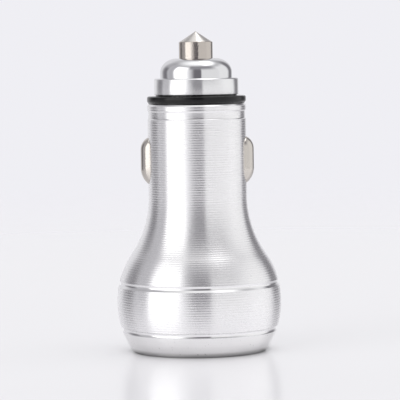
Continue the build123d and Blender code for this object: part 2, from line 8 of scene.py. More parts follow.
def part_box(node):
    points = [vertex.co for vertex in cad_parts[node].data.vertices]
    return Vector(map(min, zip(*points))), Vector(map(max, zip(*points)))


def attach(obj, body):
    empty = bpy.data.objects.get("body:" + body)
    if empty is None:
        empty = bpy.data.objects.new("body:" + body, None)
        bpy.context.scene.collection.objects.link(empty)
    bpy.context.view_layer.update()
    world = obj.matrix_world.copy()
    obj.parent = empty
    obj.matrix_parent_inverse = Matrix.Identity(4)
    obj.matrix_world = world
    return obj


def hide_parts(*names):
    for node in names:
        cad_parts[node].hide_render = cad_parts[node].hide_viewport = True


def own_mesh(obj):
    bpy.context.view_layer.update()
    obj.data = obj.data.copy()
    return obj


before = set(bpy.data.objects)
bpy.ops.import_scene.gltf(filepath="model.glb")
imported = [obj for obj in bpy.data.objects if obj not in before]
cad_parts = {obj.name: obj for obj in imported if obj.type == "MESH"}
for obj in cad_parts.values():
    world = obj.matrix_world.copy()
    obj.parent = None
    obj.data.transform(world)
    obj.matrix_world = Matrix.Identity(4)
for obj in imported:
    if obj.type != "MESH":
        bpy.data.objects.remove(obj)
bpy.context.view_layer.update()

MM = 0.001


# Housing
# One bar of aluminium, turned to a straight barrel, a flare, a round bulge and a tapered base.
# The tool leaves fine rings all the way down, and the grooves and the base are turned smooth.

finish_outputs = (("Color", "Color"), ("Roughness", "Float"), ("Normal", "Vector"))


def new_group(name, inputs, outputs):
    """A node group with these sockets, its nodes and links, and the nodes where values enter and leave."""
    group = bpy.data.node_groups.new(name, "ShaderNodeTree")
    for socket, kind, value in inputs:
        made = group.interface.new_socket(name=socket, in_out="INPUT", socket_type="NodeSocket" + kind)
        if value is not None:
            made.default_value = value
    for socket, kind in outputs:
        group.interface.new_socket(name=socket, in_out="OUTPUT", socket_type="NodeSocket" + kind)
    nodes = group.nodes
    return group, nodes, group.links, nodes.new("NodeGroupInput"), nodes.new("NodeGroupOutput")


def worked(nodes, links, operation, *values):
    """What a maths node makes of sockets and plain numbers."""
    step = nodes.new("ShaderNodeMath")
    step.operation = operation
    for socket, value in zip(step.inputs, values):
        if isinstance(value, bpy.types.NodeSocket):
            links.new(value, socket)
        else:
            socket.default_value = value
    return step.outputs[0]


def eased(nodes, links, value, start, end, first=0.0, last=1.0, easing="SMOOTHSTEP"):
    """A value that goes from one level to another as its input goes from start to end."""
    share = nodes.new("ShaderNodeMapRange")
    share.interpolation_type = easing
    for socket, level in (("From Min", start), ("From Max", end), ("To Min", first), ("To Max", last)):
        share.inputs[socket].default_value = level
    links.new(value, share.inputs["Value"])
    return share.outputs[0]


def clouded(nodes, links, place, scale, detail):
    """Noise in the piece's own coordinates, at a scale that is a number or a socket."""
    noise = nodes.new("ShaderNodeTexNoise")
    noise.inputs["Detail"].default_value = detail
    links.new(place, noise.inputs["Vector"])
    if isinstance(scale, bpy.types.NodeSocket):
        links.new(scale, noise.inputs["Scale"])
    else:
        noise.inputs["Scale"].default_value = scale
    return noise.outputs["Fac"]


def scaled(nodes, links, colour, factor):
    """A colour made lighter or darker by a factor."""
    tint = nodes.new("ShaderNodeVectorMath")
    tint.operation = "SCALE"
    if isinstance(colour, bpy.types.NodeSocket):
        links.new(colour, tint.inputs[0])
    else:
        tint.inputs[0].default_value = colour
    links.new(factor, tint.inputs["Scale"])
    return tint.outputs[0]


def bumped(nodes, links, height, strength, distance, normal=None):
    """A normal bent by a height that stands for a distance in metres."""
    bump = nodes.new("ShaderNodeBump")
    bump.inputs["Distance"].default_value = distance
    links.new(height, bump.inputs["Height"])
    links.new(strength, bump.inputs["Strength"])
    if normal is not None:
        links.new(normal, bump.inputs["Normal"])
    return bump.outputs[0]


def lathe_marks_group():
    """Fine rings round Z as a turning tool leaves them, with a faint drift in tone and gloss, pits and specks."""
    group, nodes, links, entry, leave = new_group("lathe_marks", (
        ("Color", "Color", (0.8, 0.8, 0.8, 1)),
        ("Drift", "Float", 0.1),
        ("Rings per mm", "Float", 20.0),
        ("Roughness", "Float", 0.2),
        ("Roughness drift", "Float", 0.1),
        ("Depth", "Float", 0.3),
        ("Pitting", "Float", 0.0),
        ("Specks", "Float", 0.0),
    ), finish_outputs)
    place = nodes.new("ShaderNodeTexCoord").outputs["Object"]
    parts = nodes.new("ShaderNodeSeparateXYZ")
    links.new(place, parts.inputs[0])
    x_square = worked(nodes, links, "POWER", parts.outputs["X"], 2)
    y_square = worked(nodes, links, "POWER", parts.outputs["Y"], 2)
    radius = worked(nodes, links, "SQRT", worked(nodes, links, "ADD", x_square, y_square))
    rings = nodes.new("ShaderNodeTexNoise")
    rings.noise_dimensions = "1D"
    rings.inputs["Detail"].default_value = 2
    links.new(worked(nodes, links, "SUBTRACT", parts.outputs["Z"], radius), rings.inputs["W"])
    links.new(worked(nodes, links, "MULTIPLY", entry.outputs["Rings per mm"], 1000), rings.inputs["Scale"])
    tone = worked(nodes, links, "ADD", rings.outputs["Fac"], clouded(nodes, links, place, 160, 3))
    centred = worked(nodes, links, "SUBTRACT", tone, 1)
    shift = worked(nodes, links, "MULTIPLY_ADD", centred, entry.outputs["Drift"], 1)
    # Dark specks: where a fine noise peaks, the colour is made darker by the Specks amount
    speck = eased(nodes, links, clouded(nodes, links, place, 2000, 1), 0.7, 0.78, easing="LINEAR")
    speck_darkening = worked(nodes, links, "MULTIPLY", speck, entry.outputs["Specks"])
    spotted = worked(nodes, links, "SUBTRACT", shift, speck_darkening)
    links.new(scaled(nodes, links, entry.outputs["Color"], spotted), leave.inputs["Color"])
    gloss = worked(
        nodes, links, "MULTIPLY_ADD", centred, entry.outputs["Roughness drift"], entry.outputs["Roughness"]
    )
    links.new(gloss, leave.inputs["Roughness"])
    ringed = bumped(nodes, links, rings.outputs["Fac"], entry.outputs["Depth"], 0.00002)
    pits = clouded(nodes, links, place, 3200, 1)
    pitted = bumped(nodes, links, pits, entry.outputs["Pitting"], 0.00005, ringed)
    links.new(pitted, leave.inputs["Normal"])
    return group


lathe_marks = lathe_marks_group()


def surface(name, effect, values, metallic=0.0, **sockets):
    """A Principled material whose colour, roughness and normal come from an effect group with these values."""
    material = bpy.data.materials.new(name)
    material.use_nodes = True
    nodes, links = material.node_tree.nodes, material.node_tree.links
    shader = nodes["Principled BSDF"]
    shader.inputs["Metallic"].default_value = metallic
    for socket, value in sockets.items():
        shader.inputs[socket.replace("_", " ")].default_value = value
    group = nodes.new("ShaderNodeGroup")
    group.node_tree = effect
    group.location = (-300, 200)
    for socket, value in values.items():
        group.inputs[socket].default_value = value
    links.new(group.outputs["Color"], shader.inputs["Base Color"])
    links.new(group.outputs["Roughness"], shader.inputs["Roughness"])
    links.new(group.outputs["Normal"], shader.inputs["Normal"])
    if shader.inputs["Anisotropic"].default_value > 0:
        shader.inputs["Anisotropic Rotation"].default_value = 0.25
        round_axis = nodes.new("ShaderNodeTangent")
        round_axis.direction_type = "RADIAL"
        round_axis.axis = "Z"
        links.new(round_axis.outputs[0], shader.inputs["Tangent"])
    return material


def rgb(red, green, blue):
    """A colour for a socket, from linear values."""
    return (red, green, blue, 1)


def spun(outline, steps=128):
    """A closed skin turned about Z from an outline of (radius, height) in millimetres."""
    shape = bmesh.new()
    corners = [shape.verts.new((radius * MM, 0, height * MM)) for radius, height in outline]
    on_axis = outline[0][0] == 0 and outline[-1][0] == 0
    rim = corners if on_axis else corners + corners[:1]
    edges = [shape.edges.new(pair) for pair in zip(rim, rim[1:])]
    bmesh.ops.spin(
        shape, geom=corners + edges, cent=(0, 0, 0), axis=(0, 0, 1), angle=math.tau, steps=steps, use_merge=True
    )
    bmesh.ops.remove_doubles(shape, verts=shape.verts, dist=1e-7)
    bmesh.ops.recalc_face_normals(shape, faces=shape.faces)
    return shape


def piece(name, shape, body, finish, slot, *nodes, sharp=35):
    """Makes a bmesh a finished piece that rides on a body and stands for CAD nodes."""
    mesh = bpy.data.meshes.new(name)
    shape.to_mesh(mesh)
    shape.free()
    mesh.materials.append(finish)
    mesh.shade_smooth()
    mesh.set_sharp_from_angle(angle=math.radians(sharp))
    made = bpy.data.objects.new(name, mesh)
    bpy.context.scene.collection.objects.link(made)
    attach(made, body)
    if nodes:
        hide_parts(*nodes)
    return made


def arc(centre, radius, start, end, steps):
    """Points along an arc in radius and height, from one angle to another in degrees."""
    points = []
    for step in range(steps + 1):
        angle = math.radians(start + (end - start) * step / steps)
        points.append((centre[0] + radius * math.cos(angle), centre[1] + radius * math.sin(angle)))
    return points


housing_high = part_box("housing")[1]
bulge_radius = housing_high[0] / MM
barrel_top = housing_high[2] / MM
barrel_radius = 10.1
bulge_height = 10.2
barrel_foot = 31.8
base_arc = 18.33
flare_arc = ((barrel_foot - bulge_height) ** 2 + barrel_radius**2 - bulge_radius**2) / (
    2 * (bulge_radius - barrel_radius)
)
flare_angle = math.atan2(barrel_foot - bulge_height, barrel_radius + flare_arc)
ridge_pitch = 0.5
ridge_steps = 6
ridge_depth = 0.0378
slope_fade = 0.5714
groove_steps = 14
# The low groove's foot, top and depth; the high groove's foot, the ends of its floor, its top and depth
low_groove = (4.02, 5.08, 0.36)
high_groove = (13.38, 13.8, 14.22, 14.56, 0.32)


def skin_radius(height):
    """Radius of the smooth turned skin at a height."""
    rise = height - bulge_height
    if rise < 0:
        return bulge_radius - base_arc + math.sqrt(base_arc**2 - rise**2)
    if rise < bulge_radius * math.sin(flare_angle):
        return math.sqrt(bulge_radius**2 - rise**2)
    if height < barrel_foot:
        return barrel_radius + flare_arc - math.sqrt(flare_arc**2 - (barrel_foot - height) ** 2)
    return barrel_radius


def ridged(low, high):
    """Points up the skin between two heights, with the scallops that the tool leaves, shallower on a slope."""
    points, height, walked = [], low, 0.0
    step, near = ridge_pitch / ridge_steps, 0.01
    while height < high:
        across = (walked / ridge_pitch) % 1.0
        slope = (skin_radius(height + near) - skin_radius(height - near)) / (2 * near)
        scallop = ridge_depth * (1 - slope_fade * abs(slope)) * (1 - (2 * across - 1) ** 2)
        points.append((skin_radius(height) - scallop, height))
        height += step / math.hypot(1, slope)
        walked += step
    return points


def round_groove(low, high, depth):
    """Points up through a groove cut with a round-nosed tool, with close points that keep its edges crisp."""
    nip = 0.03
    lower, upper = Vector((skin_radius(low), low)), Vector((skin_radius(high), high))
    half = (upper - lower).length / 2
    nose = (half**2 + depth**2) / (2 * depth)
    along = (upper - lower).normalized()
    outward = Vector((along.y, -along.x))
    centre = (lower + upper) / 2 + outward * (nose - depth)
    spread = math.asin(half / nose)
    points = [(skin_radius(low - nip), low - nip)]
    for step in range(groove_steps + 1):
        angle = spread * (2 * step / groove_steps - 1)
        points.append(tuple(centre + along * nose * math.sin(angle) - outward * nose * math.cos(angle)))
    points.append((skin_radius(high + nip), high + nip))
    return points


def flat_groove(low, floor_low, floor_high, high, depth):
    """Points up through a groove with a flat floor, each corner nipped so that its shading turns in the nip."""
    nip, nip_share, floor_slope = 0.03, 0.9, 0.045
    floor = (skin_radius(low) + skin_radius(high)) / 2 - depth
    run = [Vector((skin_radius(height), height)) for height in (low - nip, low)]
    run += [Vector((floor, floor_low)), Vector((floor - floor_slope, floor_high))]
    run += [Vector((skin_radius(height), height)) for height in (high, high + nip)]
    points = [tuple(run[0])]
    for before, corner, after in zip(run, run[1:], run[2:]):
        for other in (before, after):
            points.append(tuple(corner + (other - corner).normalized() * nip * nip_share))
    return points + [tuple(run[-1])]


def smooth(low, high, step):
    """Points up the skin between two heights where it is turned smooth."""
    count = max(1, round((high - low) / step))
    return [(skin_radius(low + (high - low) * i / count), low + (high - low) * i / count) for i in range(count + 1)]


seat_bore = 12.6
socket_bore = 11.9
ledge_bore = 11.2
barrel_bore = 8.7
lip_bore = 7.315
plate_back = 2.6
board_top = 17.6
cone_top = 27.0
lip_low = 49.4
rim_round = 0.4
band_low, band_high, band_depth, band_nose = 47.55, 49.35, 0.2, 0.4
edge_chamfer, chamfer_width = 0.36, 0.26
groove_gap, band_gap, edge_nip, corner_nip = 0.08, 0.05, 0.03, 0.02
outline = arc((skin_radius(0) - rim_round, rim_round), rim_round, -90, -18, 5)
outline += smooth(rim_round + 0.1, low_groove[0] - groove_gap, 0.4)
outline += round_groove(*low_groove)
outline += ridged(low_groove[1] + groove_gap, high_groove[0] - groove_gap)
outline += flat_groove(*high_groove)
outline += ridged(high_groove[3] + groove_gap, band_low - band_gap)
outline += [(barrel_radius, band_low - edge_nip)]
turn = math.degrees(math.acos(1 - band_depth / band_nose))
bite = band_nose * math.sin(math.radians(turn))
deep = barrel_radius - band_depth + band_nose
outline += arc((deep, band_low + bite), band_nose, 180 + turn, 180, 6)
outline += arc((deep, band_high - bite), band_nose, 180, 180 - turn, 6)
outline += [(barrel_radius, band_high + edge_nip)]
outline += ridged(band_high + band_gap, barrel_top - edge_chamfer - band_gap)
outline += [
    (barrel_radius, barrel_top - edge_chamfer),
    (barrel_radius - corner_nip, barrel_top - edge_chamfer + edge_nip),
    (barrel_radius - chamfer_width + corner_nip, barrel_top - corner_nip),
    (barrel_radius - chamfer_width, barrel_top),
    (lip_bore, barrel_top),
    (lip_bore, lip_low),
    (barrel_bore, lip_low),
    (barrel_bore, cone_top),
    (ledge_bore, board_top),
    (socket_bore, board_top),
    (socket_bore, plate_back),
    (seat_bore, plate_back),
    (seat_bore, rim_round),
    (seat_bore + rim_round / 2, 0),
]
housing_steps = 168

aluminium = surface(
    "turned_aluminium",
    lathe_marks,
    {
        "Color": rgb(0.925, 0.918, 0.925),
        "Drift": 0.05,
        "Rings per mm": 9.0,
        "Roughness": 0.273,
        "Roughness drift": 0.08,
        "Depth": 0.05,
        "Specks": 0.1,
    },
    metallic=1.0,
    Anisotropic=0.9,
)
faced_aluminium = surface(
    "faced_aluminium",
    lathe_marks,
    {
        "Color": rgb(0.89, 0.883, 0.882),
        "Drift": 0.05,
        "Rings per mm": 5.0,
        "Roughness": 0.08,
        "Roughness drift": 0.1,
        "Depth": 0.1,
        "Pitting": 0.2,
        "Specks": 0.35,
    },
    metallic=1.0,
)
bright_cut = surface(
    "bright_cut_aluminium",
    lathe_marks,
    {
        "Color": rgb(0.9, 0.895, 0.9),
        "Drift": 0.03,
        "Rings per mm": 5.0,
        "Roughness": 0.04,
        "Roughness drift": 0.03,
        "Depth": 0.02,
    },
    metallic=1.0,
)


def cut_slot(target, low, high):
    """Cuts a round-cornered slot between two corners, in millimetres, through the wall of a finished piece."""
    tool = bmesh.new()
    bmesh.ops.create_cube(tool, size=1)
    bmesh.ops.scale(tool, vec=[(h - l) * MM for l, h in zip(low, high)], verts=tool.verts)
    bmesh.ops.translate(tool, vec=[(h + l) * MM / 2 for l, h in zip(low, high)], verts=tool.verts)
    along = [edge for edge in tool.edges if abs((edge.verts[0].co - edge.verts[1].co).x) > 1e-6]
    bmesh.ops.bevel(
        tool, geom=along, offset=slot_corner * MM, segments=8, affect="EDGES", profile=0.5, material=-1
    )
    mesh = bpy.data.meshes.new("slot_tool")
    tool.to_mesh(mesh)
    tool.free()
    cutter = bpy.data.objects.new("slot_tool", mesh)
    bpy.context.scene.collection.objects.link(cutter)
    cut = target.modifiers.new("slot", "BOOLEAN")
    cut.object = cutter
    cut.operation = "DIFFERENCE"
    cut.solver = "EXACT"
    bpy.context.view_layer.update()
    done = bpy.data.meshes.new_from_object(target.evaluated_get(bpy.context.evaluated_depsgraph_get()))
    target.modifiers.clear()
    target.data = done
    bpy.data.objects.remove(cutter)


housing = piece(
    "turned_housing", spun(outline, housing_steps), "plug_body", aluminium, "turned_aluminium", "housing", sharp=50
)


def refinish(target, finish, *spans):
    """Gives the faces between these heights, in millimetres, a second finish."""
    target.data.materials.append(finish)
    for face in target.data.polygons:
        if any(low < face.center.z / MM < high for low, high in spans):
            face.material_index = len(target.data.materials) - 1


refinish(housing, faced_aluminium, (0, low_groove[0]))
refinish(
    housing, bright_cut, low_groove[:2], (high_groove[0], high_groove[3]), (band_low, band_low + bite),
    (band_high - bite, band_high), (barrel_top - edge_chamfer, barrel_top),
)
contact_low, contact_high = (Vector(corner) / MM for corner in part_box("contact_right"))
tab = 0.9
slot_gap = 0.12
slot_corner = 2.3
slot_inside = 4.0
slot_low = (slot_inside, contact_low.y - slot_gap, contact_low.z + tab - slot_gap)
slot_high = (contact_high.x + 1, contact_high.y + slot_gap, contact_high.z - tab + slot_gap)
cut_slot(housing, slot_low, slot_high)
cut_slot(housing, (-slot_high[0], slot_low[1], slot_low[2]), (-slot_low[0], slot_high[1], slot_high[2]))


# Insulating ring
# A moulded black ring with a bevel below and a rounded edge above.
# It slides over the neck and keeps the live cap clear of the barrel.

def moulded_grain_group():
    """Fine grain and flow clouds of a moulded plastic, with a little handling shine."""
    group, nodes, links, entry, leave = new_group("moulded_grain", (
        ("Color", "Color", (0.5, 0.5, 0.5, 1)),
        ("Drift", "Float", 0.1),
        ("Grain", "Float", 3000.0),
        ("Roughness", "Float", 0.4),
        ("Roughness drift", "Float", 0.1),
        ("Depth", "Float", 0.2),
    ), finish_outputs)
    place = nodes.new("ShaderNodeTexCoord").outputs["Object"]
    grain = clouded(nodes, links, place, entry.outputs["Grain"], 2)
    centred = worked(nodes, links, "SUBTRACT", clouded(nodes, links, place, 220, 4), 0.5)
    shift = worked(nodes, links, "MULTIPLY_ADD", centred, entry.outputs["Drift"], 1)
    links.new(scaled(nodes, links, entry.outputs["Color"], shift), leave.inputs["Color"])
    gloss = worked(
        nodes, links, "MULTIPLY_ADD", centred, entry.outputs["Roughness drift"], entry.outputs["Roughness"]
    )
    links.new(gloss, leave.inputs["Roughness"])
    grained = bumped(nodes, links, grain, entry.outputs["Depth"], 0.00003)
    links.new(grained, leave.inputs["Normal"])
    return group


moulded_grain = moulded_grain_group()
black_nylon = surface(
    "black_nylon",
    moulded_grain,
    {"Color": rgb(0.0025, 0.0025, 0.003), "Drift": 0.3, "Grain": 2600.0, "Roughness": 0.15, "Roughness drift": 0.1,
     "Depth": 0.1},
    Specular_IOR_Level=0.38,
)
ring_low, ring_high = (Vector(corner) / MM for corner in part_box("insulating_ring"))
ring_radius = ring_high.x
ring_top = 52.26
ring_round = 0.35
bevel_width, bevel_height, bevel_ease = 0.35, 0.5, 0.1
step_radius = 8.3
neck_bore = 5.98
ring_outline = [
    (neck_bore, ring_low.z),
    (ring_radius - bevel_width - bevel_ease, ring_low.z),
    (ring_radius - bevel_width, ring_low.z + 0.03),
    (ring_radius - 0.04, ring_low.z + bevel_height),
    (ring_radius, ring_low.z + bevel_height + bevel_ease),
]
ring_outline += arc((ring_radius - ring_round, ring_top - ring_round), ring_round, 0, 90, 6)
ring_outline += [
    (step_radius + 0.06, ring_top),
    (step_radius, ring_top + 0.05),
    (step_radius, ring_high.z),
    (neck_bore, ring_high.z),
]
piece("moulded_ring", spun(ring_outline), "plug_body", black_nylon, "black_nylon", "insulating_ring", sharp=50)


# Nose cap
# A turned cap with a wide collar and a round-shouldered dome, plated and polished.
# It screws onto the neck of the carrier and traps the tip contact.

polished_plate = surface(
    "polished_plate",
    lathe_marks,
    {
        "Color": rgb(0.82, 0.82, 0.832),
        "Drift": 0.03,
        "Rings per mm": 14.0,
        "Roughness": 0.065,
        "Roughness drift": 0.04,
        "Depth": 0.03,
    },
    metallic=1.0,
)
turned_plate = surface(
    "turned_plate",
    lathe_marks,
    {
        "Color": rgb(0.91, 0.908, 0.915),
        "Drift": 0.03,
        "Rings per mm": 14.0,
        "Roughness": 0.24,
        "Roughness drift": 0.06,
        "Depth": 0.03,
    },
    metallic=1.0,
    Anisotropic=0.98,
)
cap_low, cap_high = (Vector(corner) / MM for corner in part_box("nose_cap"))
collar_radius = cap_high.x
collar_top = 55.87
dome_radius = 7.35
dome_flat = 3.95
shoulder_height = 2.9
dome_top = cap_high.z
pin_bore = 3.54
flange_bore = 4.7
cap_shoulder = 58.35
bore_step = 55.17
collar_round, collar_chamfer = 0.15, 0.2
fillet, fillet_nip = 0.12, 0.03
dome_steps = 24
cap_outline = [(neck_bore, cap_low.z), (collar_radius - 0.2, cap_low.z)]
cap_outline += arc((collar_radius - collar_round, cap_low.z + collar_round), collar_round, -80, 0, 4)
cap_outline += [
    (collar_radius, collar_top - collar_chamfer),
    (collar_radius - corner_nip, collar_top - collar_chamfer + edge_nip),
    (collar_radius - collar_chamfer + edge_nip, collar_top - corner_nip),
    (collar_radius - collar_chamfer, collar_top),
    (dome_radius + fillet, collar_top),
    (dome_radius + fillet_nip, collar_top + fillet_nip),
    (dome_radius, collar_top + fillet),
]
for step in range(dome_steps + 1):
    angle = math.radians(90 * step / dome_steps)
    across = dome_flat + (dome_radius - dome_flat) * math.cos(angle)
    cap_outline.append((across, dome_top - shoulder_height + shoulder_height * math.sin(angle)))
cap_outline += [
    (pin_bore + 0.08, dome_top),
    (pin_bore, dome_top - 0.08),
    (pin_bore, cap_shoulder),
    (flange_bore, cap_shoulder),
    (flange_bore, bore_step),
    (neck_bore, bore_step),
]
cap = piece(
    "polished_cap", spun(cap_outline, 144), "plug_body", polished_plate, "polished_plate", "nose_cap", sharp=50
)
refinish(cap, turned_plate, (cap_low.z, collar_top - collar_chamfer))


# Centre contact
# A turned brass pin, nickel plated, with a coned tip that shows the rings of the tool.
# A flange inside the cap stops it, and a spring pushes it out.

nickel = surface(
    "nickel",
    lathe_marks,
    {
        "Color": rgb(0.6, 0.55, 0.505),
        "Drift": 0.08,
        "Rings per mm": 7.0,
        "Roughness": 0.04,
        "Roughness drift": 0.04,
        "Depth": 0.03,
        "Pitting": 0.5,
    },
    metallic=1.0,
)
turned_nickel = surface(
    "turned_nickel",
    lathe_marks,
    {
        "Color": rgb(0.73, 0.7, 0.67),
        "Drift": 0.3,
        "Rings per mm": 2.5,
        "Roughness": 0.22,
        "Roughness drift": 0.1,
        "Depth": 0.3,
        "Pitting": 0.2,
    },
    metallic=1.0,
    Anisotropic=0.9,
)
pin_low, pin_high = (Vector(corner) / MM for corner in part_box("centre_contact"))
pin_radius = 3.46
flange_radius = pin_high.x
cone_foot = 63.35
spring_bore = 2.35
bore_top = 61.0
pin_edge = 0.2
pin_outline = [(0, bore_top), (spring_bore, bore_top), (spring_bore, pin_low.z), (flange_radius, pin_low.z)]
pin_outline += [(flange_radius, cap_shoulder), (pin_radius, cap_shoulder), (pin_radius, cone_foot - 0.3)]
pin_outline += arc((pin_radius - pin_edge, cone_foot - 0.22), pin_edge, 0, 55, 4)
rings = 8
ring_nip = 0.07
for step in range(rings):
    share = (step + 0.4) / rings
    across = (pin_radius - 0.12) * (1 - share)
    height = cone_foot - 0.03 + (pin_high.z - cone_foot) * share
    pin_outline += [(across + ring_nip, height - ring_nip), (across, height + 0.01)]
pin_outline += [(0, pin_high.z)]
pin = piece("tip_pin", spun(pin_outline, 112), "tip", nickel, "nickel", "centre_contact", sharp=40)
refinish(pin, turned_nickel, (cone_foot, pin_high.z))


# Side contacts
# Each is a strip of brass, pressed to a round-ended channel and nickel plated.
# Two tabs behind the barrel's slot hold it in, and a spring pushes it out.

contact_round = 2.6
upper_corner, lower_corner = 2.45, 3.16
tab_thickness, tab_overlap = 0.45, 1.2
wall, hollow_depth = 0.6, 1.9


def pressed_contact(side):
    """A round-ended channel with rounded flanks, open at the back, for one side of the barrel."""
    low, high = contact_low, contact_high
    reach = high.x - barrel_radius
    upper_arc = (reach**2 + upper_corner**2) / (2 * reach)
    lower_arc = (reach**2 + lower_corner**2) / (2 * reach)
    top, foot = high.z - tab, low.z + tab
    back = low.x
    tab_face = back + tab_thickness
    rim = []
    for centre, radius, start, end in (
        ((high.x - lower_arc, foot + lower_corner), lower_arc, -math.degrees(math.asin(lower_corner / lower_arc)), 0),
        ((high.x - upper_arc, top - upper_corner), upper_arc, 0, math.degrees(math.asin(upper_corner / upper_arc))),
    ):
        rim += arc(centre, radius, start, end, 12)
    rim += [(tab_face, top), (tab_face, foot)]
    shape = bmesh.new()
    corners = [shape.verts.new((side * x * MM, low.y * MM, z * MM)) for x, z in rim]
    flank = shape.faces.new(corners)
    walls = bmesh.ops.extrude_face_region(shape, geom=[flank])
    moved = [item for item in walls["geom"] if isinstance(item, bmesh.types.BMVert)]
    bmesh.ops.translate(shape, vec=(0, (high.y - low.y) * MM, 0), verts=moved)
    bmesh.ops.recalc_face_normals(shape, faces=shape.faces)
    edges = []
    for edge in shape.edges:
        first, second = (vert.co for vert in edge.verts)
        if abs(first.y - second.y) < 1e-7 and max(abs(first.x), abs(second.x)) > (tab_face + 0.1) * MM:
            edges.append(edge)
    bmesh.ops.bevel(
        shape, geom=edges, offset=contact_round * MM, segments=9, affect="EDGES", profile=0.5, material=-1
    )
    bmesh.ops.remove_doubles(shape, verts=shape.verts, dist=1e-7)
    behind = [face for face in shape.faces if abs(face.calc_center_median().x - side * tab_face * MM) < 1e-6]
    bmesh.ops.inset_region(shape, faces=behind, thickness=wall * MM, use_even_offset=True)
    hollow = bmesh.ops.extrude_face_region(shape, geom=behind)
    moved = [item for item in hollow["geom"] if isinstance(item, bmesh.types.BMVert)]
    bmesh.ops.translate(shape, vec=(side * hollow_depth * MM, 0, 0), verts=moved)
    bmesh.ops.delete(shape, geom=behind, context="FACES")
    front = tab_face + 0.1
    for tab_low, tab_high in ((top - tab_overlap, high.z), (low.z, foot + tab_overlap)):
        made = bmesh.ops.create_cube(shape, size=1)["verts"]
        bmesh.ops.scale(
            shape, vec=((front - back) * MM, (high.y - low.y) * MM, (tab_high - tab_low) * MM), verts=made
        )
        middle = Vector((side * (front + back) / 2, (high.y + low.y) / 2, (tab_high + tab_low) / 2))
        bmesh.ops.translate(shape, vec=middle * MM, verts=made)
    bmesh.ops.recalc_face_normals(shape, faces=shape.faces)
    return shape


plated_strip = surface(
    "plated_strip",
    lathe_marks,
    {
        "Color": rgb(0.66, 0.62, 0.575),
        "Drift": 0.06,
        "Rings per mm": 0.7,
        "Roughness": 0.08,
        "Roughness drift": 0.06,
        "Depth": 0.0,
        "Pitting": 0.25,
    },
    metallic=1.0,
)
for name, side in (("left", -1), ("right", 1)):
    piece(
        "pressed_contact_" + name,
        pressed_contact(side),
        name + "_contact",
        plated_strip,
        "nickel",
        "contact_" + name,
        sharp=45,
    )


# Springs
# Coils of hard steel wire behind the centre contact and the side contacts.
# Each is ground flat at its ends.

spring_steel = surface(
    "spring_steel",
    lathe_marks,
    {
        "Color": rgb(0.42, 0.42, 0.43),
        "Drift": 0.2,
        "Rings per mm": 3.0,
        "Roughness": 0.3,
        "Roughness drift": 0.2,
        "Depth": 0.2,
    },
    metallic=1.0,
)


def coil(low, high, along, radius, wire, turns):
    """A wire wound from one end of a box to the other, along X or Z."""
    start, length = (low.x, high.x - low.x) if along == "X" else (low.z, high.z - low.z)
    middle = (low + high) / 2
    lie = Matrix.Rotation(math.pi / 2, 4, "Y") if along == "X" else Matrix.Identity(4)
    place = Vector((start, middle.y, middle.z)) if along == "X" else Vector((middle.x, middle.y, start))
    shape = bmesh.new()
    section = bmesh.ops.create_circle(shape, segments=10, radius=wire / 2 * MM)
    stand = Matrix.Translation(((radius - wire / 2) * MM, 0, wire / 2 * MM)) @ Matrix.Rotation(math.pi / 2, 4, "X")
    bmesh.ops.transform(shape, matrix=stand, verts=section["verts"])
    rise = (length - wire) * MM
    steps = turns * 24
    bmesh.ops.spin(
        shape, geom=shape.edges[:], cent=(0, 0, 0), axis=(0, 0, 1), dvec=(0, 0, rise / steps),
        angle=math.tau * turns, steps=steps,
    )
    ends = [edge for edge in shape.edges if edge.is_boundary]
    bmesh.ops.holes_fill(shape, edges=ends, sides=0)
    bmesh.ops.transform(shape, matrix=Matrix.Translation(place * MM) @ lie, verts=shape.verts)
    bmesh.ops.recalc_face_normals(shape, faces=shape.faces)
    return shape


spring_low, spring_high = (Vector(corner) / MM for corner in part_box("contact_spring"))
tip_coil = piece(
    "tip_coil", coil(spring_low, spring_high, "Z", radius=2.2, wire=0.5, turns=8), "plug_body", spring_steel,
    "spring_steel", "contact_spring", sharp=80,
)
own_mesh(tip_coil)
for name in ("left", "right"):
    coil_low, coil_high = (Vector(corner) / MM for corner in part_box("side_spring_" + name))
    side_coil = piece(
        "side_coil_" + name, coil(coil_low, coil_high, "X", radius=1.8, wire=0.4, turns=7), "plug_body",
        spring_steel, "spring_steel", "side_spring_" + name, sharp=80,
    )
    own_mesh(side_coil)


# Face plate and light guide
# A moulded black plate closes the socket end, with a window for each socket.
# A clear pin beside the windows brings out the light of the lamp.

def dress(node, finish):
    """Gives a piece of the frame its own finish."""
    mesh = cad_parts[node].data
    mesh.materials.clear()
    mesh.materials.append(finish)


black_plate = surface(
    "black_plate",
    moulded_grain,
    {"Color": rgb(0.012, 0.012, 0.013), "Drift": 0.3, "Grain": 1500.0, "Roughness": 0.45, "Roughness drift": 0.2,
     "Depth": 0.5},
)
dress("face_plate", black_plate)
clear = surface(
    "clear_guide",
    moulded_grain,
    {"Color": rgb(0.9, 0.93, 0.95), "Drift": 0.05, "Grain": 900.0, "Roughness": 0.12, "Roughness drift": 0.1,
     "Depth": 0.1},
    Transmission_Weight=0.85,
    IOR=1.49,
)
dress("light_guide", clear)
dress("indicator_led", surface(
    "lamp_body",
    moulded_grain,
    {"Color": rgb(0.75, 0.76, 0.70), "Drift": 0.1, "Grain": 1800.0, "Roughness": 0.35, "Roughness drift": 0.1},
))


# Sockets
# Each has a folded steel shell with sprung leaves, a moulded tongue and four gilt contacts.
# They stand on the round board and show through the windows of the face plate.

